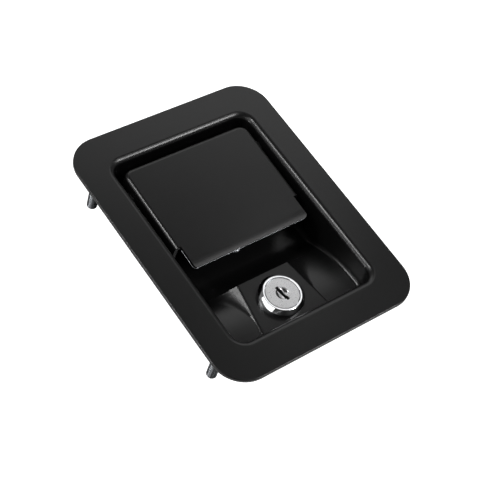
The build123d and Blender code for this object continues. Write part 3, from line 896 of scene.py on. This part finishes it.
@dataclass
class BossFlanks:
    """The soft hollows where the boss's two flanks run out into the pan's floor.

    Each flank's plane passes through the ridge point and falls off across and along from there.
    The heights of the pan's floor are probed from above, beside the boss.
    """

    shelf: FinishShelf
    top: float = -12.4
    ridge: Pair = (18.8, -23.3)
    ridge_height: float = -15.0
    fall_across: float = 0.6037
    fall_along: float = 0.0973
    probe: float = 29.0
    probe_height: float = 5.0
    start: float = -19.7
    end: float = -37.6
    back: float = -21.98
    back_slope: float = 3.08
    reach: float = 3.2
    share: float = 0.72
    fade: float = 0.3
    tuck: float = 0.02
    sink: float = 0.5
    rows: int = 60
    columns: int = 18
    smooth_angle: float = 30.0

    def build(self, frame: dict) -> list[Item]:
        """Makes both hollows.


        Returns:
            The two pieces.
        """
        housing = frame["nodes"]["housing"]
        work = bmesh.new()
        work.from_mesh(housing.data)
        tree = BVHTree.FromBMesh(work)
        work.free()
        floor = []
        for k in range(self.rows + 1):
            y = self.start + (self.end - self.start) * k / self.rows
            above = Vector((-self.probe, y, self.probe_height)) * MM
            spot = tree.ray_cast(above, Vector((0.0, 0.0, -1.0)))[0]
            floor.append((y, spot.z / MM))
        return [self.lay(-1, "boss_hollow_left", floor), self.lay(1, "boss_hollow_right", floor)]

    def lay(self, side: int, name: str, floor: Sequence[Pair]) -> Item:
        """Makes one hollow.

        Args:
            side: -1 for the left flank, 1 for the right one.
            name: the piece's name.
            floor: place along Y and height of the pan's floor at each row.

        Returns:
            The piece.
        """
        solid = Solid(name)
        rings = []
        for y, ground in floor:
            soft = min(self.reach, self.share * (self.top - ground))
            taper = min(1.0, (self.start - y) / self.fade)
            taper = taper * taper * (3 - 2 * taper)
            limit = self.top - self.back_slope * max(0.0, y - self.back)
            upper, lower = [], []
            for column in range(self.columns + 1):
                u = 2 * column / self.columns - 1
                flank = ground + u * soft
                rise = self.ridge_height - flank - self.fall_along * (y - self.ridge[1])
                x = self.ridge[0] + rise / self.fall_across
                crown = soft * (1 - abs(u)) ** 2 / 4 * taper
                skin = min(max(ground, flank) + crown, limit)
                if column in (0, self.columns):
                    skin -= self.tuck
                upper.append(Vector((side * x, y, skin)))
                lower.append(Vector((side * x, y, skin - self.sink)))
            rings.append(upper + lower[::-1])
        solid.rings(rings)
        hollow = solid.build(self.smooth_angle)
        self.shelf.dress(hollow, Slot.POWDER_COAT)
        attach(hollow, Body.HOUSING.value)
        return hollow


@dataclass
class LipBead:
    """The fine line of dull metal along the paddle's lip, where hands rub the coat off."""

    shelf: FinishShelf
    half: float = 32.0
    corner: float = 1.8
    front: float = -9.67
    bend: float = -5.61
    bend_height: float = -2.98
    slope: float = 0.033
    curl_slope: float = 0.13
    curl: float = 0.0086
    top: float = 1.4
    radius: float = 0.16
    sides: int = 12
    side_steps: int = 16
    corner_steps: int = 8
    front_steps: int = 40

    def height(self, y: float) -> float:
        """Gives the height of the lip's underside.

        Args:
            y: place along the paddle.

        Returns:
            The height there.
        """
        past = self.bend - y
        if past <= 0:
            return self.bend_height - self.slope * past
        return self.bend_height - self.curl_slope * past - self.curl * past**2

    def outline(self) -> list[Pair]:
        """Gives the lip's lower corner, seen from the front.

        Returns:
            Places along X and Y, from the right end to the left one.
        """
        straight = self.half - self.corner
        pivot = self.front + self.corner
        steps, bends, across = self.side_steps, self.corner_steps, self.front_steps
        side = [(self.half, self.top + (pivot - self.top) * k / steps) for k in range(steps)]
        for k in range(bends + 1):
            turn = math.radians(90.0 * k / bends)
            x, y = straight + self.corner * math.cos(turn), pivot - self.corner * math.sin(turn)
            side.append((x, y))
        front = [(straight - 2 * straight * k / across, self.front) for k in range(1, across)]
        return side + front + [(-x, y) for x, y in reversed(side)]

    def build(self) -> Item:
        """Makes the bead.

        Returns:
            The bead.
        """
        solid = Solid("lip_bead")
        path = [Vector((x, y, self.height(y))) for x, y in self.outline()]
        wound(solid, path, self.radius, self.sides)
        bead = solid.build(WIRE_SMOOTH)
        self.shelf.dress(bead, Slot.CAST_ZINC)
        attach(bead, Body.PADDLE.value)
        return bead


@dataclass
class WeldStuds:
    """Four threaded studs on the back of the flange, each with its small weld fillet."""

    shelf: FinishShelf
    across: float = 46.0
    along: float = 50.4
    seat: float = 0.05
    tip: float = -22.0
    plain: float = 2.2
    lead: float = 0.3
    chamfer: float = 0.7
    point: float = 0.4
    fillet: float = 0.55
    weld_inset: float = 0.25
    weld_top: float = 0.04
    weld_steps: int = 5
    swell: float = 0.06
    swells: int = 5
    steps: int = 28
    smooth_angle: float = 50.0
    thread: ThreadForm = field(default_factory=lambda: ThreadForm(2.5, 0.8, 0.32))
    # The studs take a darker copy of the zinc plate, darker all over.
    finish: ZincPlate = ZincPlate(
        name="darker_zinc_plate",
        colours=((0.13, 0.135, 0.145), (0.24, 0.25, 0.26)),
        roughness=(0.14, 0.24),
    )

    def build(self) -> list[Item]:
        """Makes the studs and their weld fillets.

        Returns:
            The two pieces.
        """
        studs, welds = Solid("threaded_studs"), Solid("stud_weld_fillets")
        for x in (-self.across, self.across):
            for y in (-self.along, self.along):
                self.lay_stud(studs, (x, y))
                self.lay_weld(welds, (x, y))
        stud, weld = studs.build(self.smooth_angle), welds.build()
        plate = self.finish.build()
        stud.data.materials.append(plate)
        weld.data.materials.append(plate)
        for piece in (stud, weld):
            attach(piece, Body.HOUSING.value)
        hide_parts("weld_studs")
        return [stud, weld]

    def lay_stud(self, solid: Solid, centre: Pair) -> None:
        """Adds one stud.

        Args:
            solid: the solid that takes it.
            centre: the stud's place.
        """
        full = self.thread.radius
        profile = [(full / 2, self.seat), (full, self.seat), (full, -self.plain + self.lead)]
        profile += [(full, z) for z in self.thread.heights(self.tip, -self.plain)]
        profile += [(full - self.chamfer - self.point, self.tip)]

        def reach(radius: float, angle: float, height: float) -> float:
            """Cuts the thread below the plain neck and chamfers the tip.

            Args:
                radius: radius of the blank.
                angle: angle round the stud, in radians.
                height: height along the stud.

            Returns:
                The stud's radius there.
            """
            if radius < full or height > -self.plain:
                return radius
            fade = min(1.0, (-self.plain - height) / self.thread.pitch)
            cut = self.thread.radius - self.thread.reach(angle, height)
            return min(full - cut * fade, full - self.chamfer + (height - self.tip))

        turned(solid, centre, profile, self.steps, reach)

    def lay_weld(self, solid: Solid, centre: Pair) -> None:
        """Adds one hollow ring of weld metal, slightly uneven round the stud.

        Args:
            solid: the solid that takes it.
            centre: the stud's place.
        """
        full, inner = self.thread.radius, self.thread.radius - self.weld_inset
        profile = [(inner, self.weld_top), (full + self.fillet, self.weld_top)]
        for k in range(self.weld_steps + 1):
            turn = math.radians(90.0 * k / self.weld_steps)
            out, down = 1 - math.sin(turn), 1 - math.cos(turn)
            profile.append((full + self.fillet * out, -self.fillet * down))
        profile.append((inner, -self.fillet))

        def reach(radius: float, angle: float, height: float) -> float:
            """Lets the ring swell and shrink a little round the stud.

            Args:
                radius: radius of the even ring.
                angle: angle round the stud, in radians.
                height: height of the place, which changes nothing.

            Returns:
                The uneven ring's radius there.
            """
            if radius <= full:
                return radius
            wave = self.swell * math.sin(self.swells * angle + centre[0])
            return radius + wave * (radius - full) / self.fillet

        turned(solid, centre, profile, self.steps, reach, closed=True)


@dataclass
class LockBody:
    """The lock's barrel with its head, threaded sides and flats, and the nut behind the boss."""

    shelf: FinishShelf
    centre: Pair = (0.0, -36.2)
    boss: float = -12.4
    face: float = -8.6
    end: float = -42.8
    bore: float = 6.05
    wall: float = 0.5
    recess: float = 8.3
    recess_floor: float = -10.6
    base_radius: float = 11.0
    face_radius: float = 9.2
    bevel: float = 1.75
    bevel_steps: int = 24
    bulge: float = 18.0
    edge: float = 0.12
    edge_share: float = 0.3
    foot_ease: Pair = (0.03, 0.02)
    base_cut: float = 0.08
    neck_cut: Pair = (0.1, 0.05)
    neck: float = 1.9
    thread_top: float = 2.0
    thread_end: float = 0.6
    end_cut: float = 0.5
    flat: float = 16.0
    slack: float = 0.01
    steps: int = 144
    smooth_angle: float = 16.0
    nut_top: float = -14.8
    nut_height: float = 4.0
    nut_across: float = 21.0
    nut_bore: float = 8.95
    nut_bore_cut: float = 0.5
    nut_inset: float = 0.3
    nut_lead: float = 0.05
    nut_chamfer: float = 30.0
    nut_rows: int = 24
    nut_smooth_angle: float = 24.0
    thread: ThreadForm = field(default_factory=lambda: ThreadForm(8.9, 1.0, 0.45))

    def head_profile(self) -> list[Pair]:
        """Gives the head's outer side, from its face down to its foot.

        Returns:
            Radius and height of each ring.
        """
        start = Vector((self.base_radius, self.face - self.bevel))
        finish = Vector((self.face_radius, self.face))
        middle = (start + finish) / 2
        half = (finish - start).length / 2
        across = Vector((start.y - finish.y, finish.x - start.x)).normalized()
        pole = middle + across * math.sqrt(self.bulge**2 - half**2)
        low = math.atan2(start.y - pole.y, start.x - pole.x)
        high = math.atan2(finish.y - pole.y, finish.x - pole.x)
        rows = []
        for k in range(self.bevel_steps + 1):
            angle = high + (low - high) * k / self.bevel_steps
            x, y = pole.x + self.bulge * math.cos(angle), pole.y + self.bulge * math.sin(angle)
            rows.append((x, y))
        return rows

    def build(self) -> list[Item]:
        """Makes the barrel and the nut.

        Returns:
            The two pieces.
        """
        return [self.build_barrel(), self.build_nut()]

    def barrel_profile(self) -> list[Pair]:
        """Gives the barrel's whole section, from the bore's end round to the threaded end.

        Returns:
            Radius and height of each ring.
        """
        side = self.head_profile()
        crown, foot = side[0][0], side[-1][1]
        base, full = self.base_radius, self.thread.radius
        ease = self.edge_share * self.edge
        rows = self.thread.heights(self.end + self.thread_end, self.boss - self.thread_top)
        return [
            (self.bore, self.end),
            (self.bore, self.recess_floor),
            (self.recess, self.recess_floor),
            (self.recess, self.face - self.edge),
            (self.recess + self.edge, self.face),
            (crown - self.edge, self.face),
            (crown - ease, self.face - ease),
            *side[1:-1],
            (base - self.foot_ease[0], foot + self.foot_ease[1]),
            (base, foot - self.edge),
            (base, self.boss + self.base_cut),
            (base - self.base_cut, self.boss),
            (full - self.neck_cut[0], self.boss),
            (full, self.boss - self.neck_cut[1]),
            (full, self.boss - self.neck),
            *[(full, z) for z in rows],
            (full - self.end_cut, self.end),
        ]

    def build_barrel(self) -> Item:
        """Makes the barrel.

        Returns:
            The barrel.
        """
        solid = Solid("lock_body")
        full = self.thread.radius
        threaded = self.boss - (self.neck + self.thread_top) / 2

        def reach(radius: float, angle: float, height: float) -> float:
            """Cuts the thread and the two flats behind the boss.

            Args:
                radius: radius of the blank.
                angle: angle round the barrel, in radians.
                height: height along the barrel.

            Returns:
                The barrel's radius there.
            """
            inside, outside = radius < self.bore + self.wall, radius > full + self.slack
            if inside or outside or height > self.boss - self.slack:
                return radius
            far = radius
            if height < threaded and radius >= full:
                far = self.thread.reach(angle, height)
            along = abs(math.cos(angle))
            return min(far, self.flat / 2 / along) if along > self.slack else far

        turned(solid, self.centre, self.barrel_profile(), self.steps, reach, closed=True)
        barrel = solid.build(self.smooth_angle)
        self.shelf.dress(barrel, Slot.CHROME)
        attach(barrel, Body.HOUSING.value)
        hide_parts("lock_barrel")
        return barrel

    def build_nut(self) -> Item:
        """Makes the hexagon nut, chamfered on both faces.

        Returns:
            The nut.
        """
        solid = Solid("chamfered_lock_nut")
        top, low = self.nut_top, self.nut_top - self.nut_height
        half = self.nut_across / 2
        corner, face = half / math.cos(math.pi / 6), half - self.nut_inset
        bore, cut = self.nut_bore, self.nut_bore_cut
        profile = [(bore + cut, low), (bore, low + cut), (bore, top - cut), (bore + cut, top)]
        profile.append((face, top))
        for k in range(self.nut_rows + 1):
            profile.append((corner, top - self.nut_height * k / self.nut_rows))
        profile.append((face, low))
        slope = 1 / math.tan(math.radians(self.nut_chamfer))

        def reach(radius: float, angle: float, height: float) -> float:
            """Gives the hexagon, cut back by the chamfers at both faces.

            Args:
                radius: radius of the blank.
                angle: angle round the nut, in radians.
                height: height along the nut.

            Returns:
                The nut's radius there.
            """
            if radius < corner:
                return radius
            turn = (angle + math.pi / 6) % (math.pi / 3) - math.pi / 6
            hexagon = half / math.cos(turn)
            gap = min(top - height, height - low)
            return min(hexagon, face + self.nut_lead + gap * slope)

        turned(solid, self.centre, profile, self.steps, reach, closed=True)
        nut = solid.build(self.nut_smooth_angle)
        self.shelf.dress(nut, Slot.ZINC_PLATE)
        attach(nut, Body.HOUSING.value)
        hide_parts("lock_nut")
        return nut


@dataclass
class KeyWay:
    """The small parts that show in the dish round the keyway and down inside it.

    The insert, the painted shade crescent, the painted shade lining of the slot's walls and the
    plates follow the slot's own directions. The ridge and the painted shade lobe are given by
    places from the lock's middle. The crescent, the lining and the lobe are black pieces put where
    the dish and the slot lie in shade.
    """

    shelf: FinishShelf
    centre: Pair = (0.0, -36.2)
    face: float = -8.75
    dish: float = -9.35
    foot: float = 0.1
    tilt: float = 12.0
    slot_half: float = 0.85
    slot_length: float = 8.2
    bury: float = 0.3
    insert_radius: float = 2.6
    insert_gap: float = 0.1
    insert_drop: float = 0.12
    insert_cut: float = 0.08
    insert_steps: int = 20
    ridge_half: float = 0.2
    ridge_drop: float = 0.04
    # Painted shade: the black lobe in the dish beside the ridge, where the dish lies in shade.
    shade_lobe_rise: float = 0.2
    shade_lobe_cut: float = 0.06
    # Painted shade: the black crescent on the dish's left, where its wall lies in shade.
    shade_crescent_start: float = 97.0
    shade_crescent_end: float = 214.0
    shade_crescent_radius: float = 3.15
    shade_crescent_width: float = 1.15
    shade_crescent_tip: float = 0.12
    shade_crescent_drop: float = 0.05
    shade_crescent_steps: int = 24
    # Painted shade: the black lining of the slot's walls, where the slot lies in shade.
    shade_lining: float = 0.14
    shade_lining_top: float = 0.5
    shade_lining_low: float = 8.0
    shade_lining_cut: float = 0.02
    plate: float = 0.6
    plate_pitch: float = 1.3
    plate_depth: float = 3.2
    plate_overlap: float = 0.2
    plate_start: float = 0.3
    plate_stagger: float = 0.25
    plate_end: float = 0.5
    plate_cut: float = 0.05
    plates: int = 6
    ridge: tuple[Pair, ...] = (
        (1.15, 2.75), (0.9, 1.3), (0.78, -0.4), (1.05, -1.3), (1.5, -2.1),
    )
    # Outline of the painted shade lobe.
    shade_lobe: tuple[Pair, ...] = (
        (1.32, 0.1), (2.75, -0.7), (2.9, 0.6), (2.55, 1.6), (1.95, 2.3), (1.5, 2.55), (1.3, 1.5),
    )

    @property
    def top(self) -> float:
        """Height of the insert's top."""
        return self.face - self.insert_drop

    @property
    def low(self) -> float:
        """Height where the small parts stand, just below the dish."""
        return self.dish - self.foot

    def place(self, across: float, along: float) -> Vector:
        """Turns a place in the slot's own directions into a place in the latch.

        Args:
            across: distance across the slot.
            along: distance along the slot.

        Returns:
            The point, at height 0.
        """
        lean = math.radians(self.tilt)
        x = self.centre[0] + across * math.cos(lean) - along * math.sin(lean)
        y = self.centre[1] + across * math.sin(lean) + along * math.cos(lean)
        return Vector((x, y, 0.0))

    def polar(self, radius: float, turn: float) -> Vector:
        """Gives the point at a radius and a turn from the slot's own direction, in radians."""
        return self.place(radius * math.cos(turn), radius * math.sin(turn))

    def box(self, across: Pair, along: Pair) -> list[Vector]:
        """Gives a four-cornered outline.

        Args:
            across: its limits across the slot.
            along: its limits along the slot.

        Returns:
            The four points, at height 0.
        """
        (left, right), (start, end) = across, along
        corners = ((left, start), (right, start), (right, end), (left, end))
        return [self.place(*corner) for corner in corners]

    def spots(self, places: Sequence[Pair]) -> list[Vector]:
        """Gives points from their places relative to the lock's middle."""
        return [Vector((self.centre[0] + x, self.centre[1] + y, 0.0)) for x, y in places]

    def slab(
        self, solid: Solid, outline: Sequence[Vector], low: float, high: float, cut: float
    ) -> None:
        """Adds an upright slab with its upper edge cut.

        Args:
            solid: the solid that takes it.
            outline: the slab's outline at height 0.
            low: height of its underside.
            high: height of its top.
            cut: size of the cut at the upper edge.
        """
        middle = sum(outline, Vector()) / len(outline)
        reach = min((point - middle).length for point in outline)
        rings = []
        for height, share in ((low, 1.0), (high - cut, 1.0), (high, 1.0 - cut / reach)):
            lift = Vector((0.0, 0.0, height))
            rings.append([middle + (point - middle) * share + lift for point in outline])
        solid.rings(rings)

    def lay_insert(self) -> Solid:
        """Makes the insert that fills the dish on the slot's left.

        Returns:
            The insert's solid.
        """
        solid = Solid("keyway_insert")
        edge = math.acos((self.slot_half + self.insert_gap) / self.insert_radius)
        outline = []
        for k in range(self.insert_steps + 1):
            turn = math.pi - edge + 2 * edge * k / self.insert_steps
            outline.append(self.polar(self.insert_radius, turn))
        self.slab(solid, outline, self.low, self.top, self.insert_cut)
        return solid

    def lay_ridge(self) -> Solid:
        """Makes the bent ridge along the slot's right.

        Returns:
            The ridge's solid.
        """
        solid = Solid("keyway_ridge")
        spine = self.spots(self.ridge)
        left, right = [], []
        for k, point in enumerate(spine):
            ahead = (spine[min(k + 1, len(spine) - 1)] - spine[max(k - 1, 0)]).normalized()
            out = Vector((-ahead.y, ahead.x, 0.0)) * self.ridge_half
            left.append(point + out)
            right.append(point - out)
        lifts = [Vector((0.0, 0.0, z)) for z in (self.low, self.top - self.ridge_drop)]
        solid.rings([[point + lift for point in left + right[::-1]] for lift in lifts])
        return solid

    def lay_shade_lobe(self) -> Solid:
        """Makes the painted shade lobe: a black slab in the dish beside the ridge, where the dish
        lies in shade.

        Returns:
            The painted shade lobe's solid.
        """
        solid = Solid("keyway_shade_lobe")
        # Painted shade: a black slab standing in the dish where its floor lies in shade.
        high = self.dish + self.shade_lobe_rise
        self.slab(solid, self.spots(self.shade_lobe), self.low, high, self.shade_lobe_cut)
        return solid

    def lay_painted_shade(self) -> Solid:
        """Makes the black painted shade: a crescent in the dish and a lining of the slot's walls.

        Returns:
            The painted shade's solid.
        """
        solid = Solid("keyway_painted_shade")
        # Painted shade: a black crescent against the dish's left wall, which lies in shade.
        begin, finish = math.radians(self.shade_crescent_start), math.radians(self.shade_crescent_end)
        rings = []
        for k in range(self.shade_crescent_steps + 1):
            turn = begin + (finish - begin) * k / self.shade_crescent_steps
            swell = (1 - self.shade_crescent_tip) * math.sin(math.pi * k / self.shade_crescent_steps)
            near = self.shade_crescent_radius - self.shade_crescent_width * (self.shade_crescent_tip + swell)
            inner, outer = self.polar(near, turn), self.polar(self.shade_crescent_radius, turn)
            corners = (
                (inner, self.low),
                (outer, self.low),
                (outer, self.face - self.shade_crescent_drop),
                (inner, self.face - 2 * self.shade_crescent_drop),
            )
            rings.append([point + Vector((0.0, 0.0, height)) for point, height in corners])
        solid.rings(rings)
        # Painted shade: black sheets lining the slot's walls, which lie in shade.
        wall, stop = self.slot_half - self.shade_lining, self.slot_length / 2 - self.shade_lining
        high = self.face - self.shade_lining_top
        for across, along in (
            ((-wall - self.bury, -wall), (-stop, stop)),
            ((wall, wall + self.bury), (-stop, stop)),
            ((-wall, wall), (stop, stop + self.bury)),
            ((-wall, wall), (-stop - self.bury, -stop)),
        ):
            outline = self.box(across, along)
            self.slab(solid, outline, self.face - self.shade_lining_low, high, self.shade_lining_cut)
        return solid

    def lay_plates(self) -> Solid:
        """Makes the stack of plates down in the slot, at both of its ends.

        Returns:
            The plates' solid.
        """
        solid = Solid("keyway_plates")
        half, wide = self.slot_length / 2, self.slot_half + self.plate_overlap
        for k in range(self.plates):
            high = self.face - self.plate_depth - self.plate_pitch * k
            start = self.plate_start + self.plate_stagger * (k % 2)
            for along in ((start, half + self.bury), (-half - self.bury, -half + self.plate_end)):
                outline = self.box((-wide, wide), along)
                self.slab(solid, outline, high - self.plate, high, self.plate_cut)
        return solid

    def build(self) -> list[Item]:
        """Makes the insert, the ridge, the painted shade lobe, the painted shade crescent with its
        lining, and the plates.

        Returns:
            The pieces.
        """
        pieces = []
        for solid, slot in (
            (self.lay_insert(), Slot.SATIN_CHROME),
            (self.lay_ridge(), Slot.SATIN_CHROME),
            # The next two are black painted shade: the lobe in the dish, then the crescent with the
            # slot's lining.
            (self.lay_shade_lobe(), Slot.BLACK_NYLON),
            (self.lay_painted_shade(), Slot.BLACK_NYLON),
            (self.lay_plates(), Slot.SPRING_STEEL),
        ):
            piece = solid.build()
            self.shelf.dress(piece, slot)
            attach(piece, Body.CORE.value)
            pieces.append(piece)
        return pieces


@dataclass
class ReturnSprings:
    """Two torsion coils round the pivot pin, each with a leg on the paddle and one on the floor."""

    shelf: FinishShelf
    pivot: Pair = (37.0, -10.0)
    wire: float = 1.5
    sides: int = 14
    coil: float = 3.85
    pitch: float = 1.8
    turns: int = 5
    last_turn: float = 0.25
    inner: float = 5.0
    leg: float = 19.0
    leg_rise: float = 6.65
    leg_steps: int = 12
    floor_leg: float = 12.4
    floor_leg_steps: int = 8
    steps: int = 40

    def build(self) -> list[Item]:
        """Makes both coils.

        Returns:
            The two pieces.
        """
        return [
            self.build_coil(-1, "return_spring_left"),
            self.build_coil(1, "return_spring_right"),
        ]

    def path(self, side: int) -> list[Vector]:
        """Gives the middle line of one coil with its legs.

        Args:
            side: -1 for the left coil, 1 for the right one.

        Returns:
            Points along the wire.
        """
        y0, z0 = self.pivot
        lean = math.asin((self.leg_rise - self.coil) / self.leg)
        start = math.pi / 2 - lean
        sweep = 2 * math.pi * self.turns + start
        count = round(sweep / (2 * math.pi) * self.steps)
        coil = []
        for k in range(count + 1):
            share = k / count
            angle = start - sweep * share
            x = self.inner + share * sweep / (2 * math.pi) * self.pitch
            y, z = y0 + self.coil * math.cos(angle), z0 + self.coil * math.sin(angle)
            coil.append(Vector((side * x, y, z)))
        rise = self.pitch / (2 * math.pi)
        out = Vector((-side * rise, -self.coil * math.cos(lean), self.coil * math.sin(lean)))
        down = Vector((side * rise, 0.0, -self.coil))
        out.normalize()
        down.normalize()
        far, low = self.leg_steps, self.floor_leg_steps
        leg = [coil[0] + out * (self.leg * k / far) for k in range(far, 0, -1)]
        tail = [coil[-1] + down * (self.floor_leg * k / low) for k in range(1, low + 1)]
        return leg + coil + tail

    def build_coil(self, side: int, name: str) -> Item:
        """Makes one coil.

        Args:
            side: -1 for the left coil, 1 for the right one.
            name: the piece's name.

        Returns:
            The coil.
        """
        solid = Solid(name)
        wound(solid, self.path(side), self.wire / 2, self.sides)
        coil = solid.build(WIRE_SMOOTH)
        self.shelf.dress(coil, Slot.SPRING_STEEL)
        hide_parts("return_spring")
        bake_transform(coil)
        return coil


@dataclass
class BoltSpring:
    """The compression spring round the bolt's rod, made at one length; the real spring shortens as
    the bolt draws back.
    """

    shelf: FinishShelf
    height: float = -49.1
    wire: float = 1.1
    sides: int = 12
    coil: float = 3.95
    start: float = -3.25
    end: float = 21.25
    turns: float = 8.0
    tab: float = -4.0
    stroke: float = 14.85
    tail: float = 22.0
    spare: float = 0.01
    steps: int = 36

    def build(self) -> Item:
        """Makes the spring.

        Returns:
            The spring.
        """
        solid = Solid("bolt_return_coil")
        count = round(self.turns * self.steps)
        path = []
        for k in range(count + 1):
            share = k / count
            angle = 2 * math.pi * self.turns * share
            y = self.start + (self.end - self.start) * share
            x, z = self.coil * math.cos(angle), self.height + self.coil * math.sin(angle)
            path.append(Vector((x, y, z)))
        wound(solid, path, self.wire / 2, self.sides)
        spring = solid.build(WIRE_SMOOTH)
        self.shelf.dress(spring, Slot.SPRING_STEEL)
        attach(spring, Body.HOUSING.value)
        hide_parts("bolt_spring")
        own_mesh(spring)
        return spring


def main() -> None:
    """Builds and dresses the latch, in order."""
    logging.basicConfig(level=logging.INFO, format="%(name)s %(message)s")
    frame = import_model()
    cad_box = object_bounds()
    shelf = FinishShelf()
    shelf.stock()
    FrameFinishes(shelf).dress(frame)
    pieces = [*BossFlanks(shelf).build(frame), LipBead(shelf).build()]
    pieces += [*WeldStuds(shelf).build(), *LockBody(shelf).build(), *KeyWay(shelf).build()]
    pieces += [*ReturnSprings(shelf).build(), BoltSpring(shelf).build()]
    for piece in pieces:
        LOG.info("piece %s, %d faces", piece.name, len(piece.data.polygons))
    Studio().set_up(cad_box[0].z)


if __name__ == "__main__":
    main()
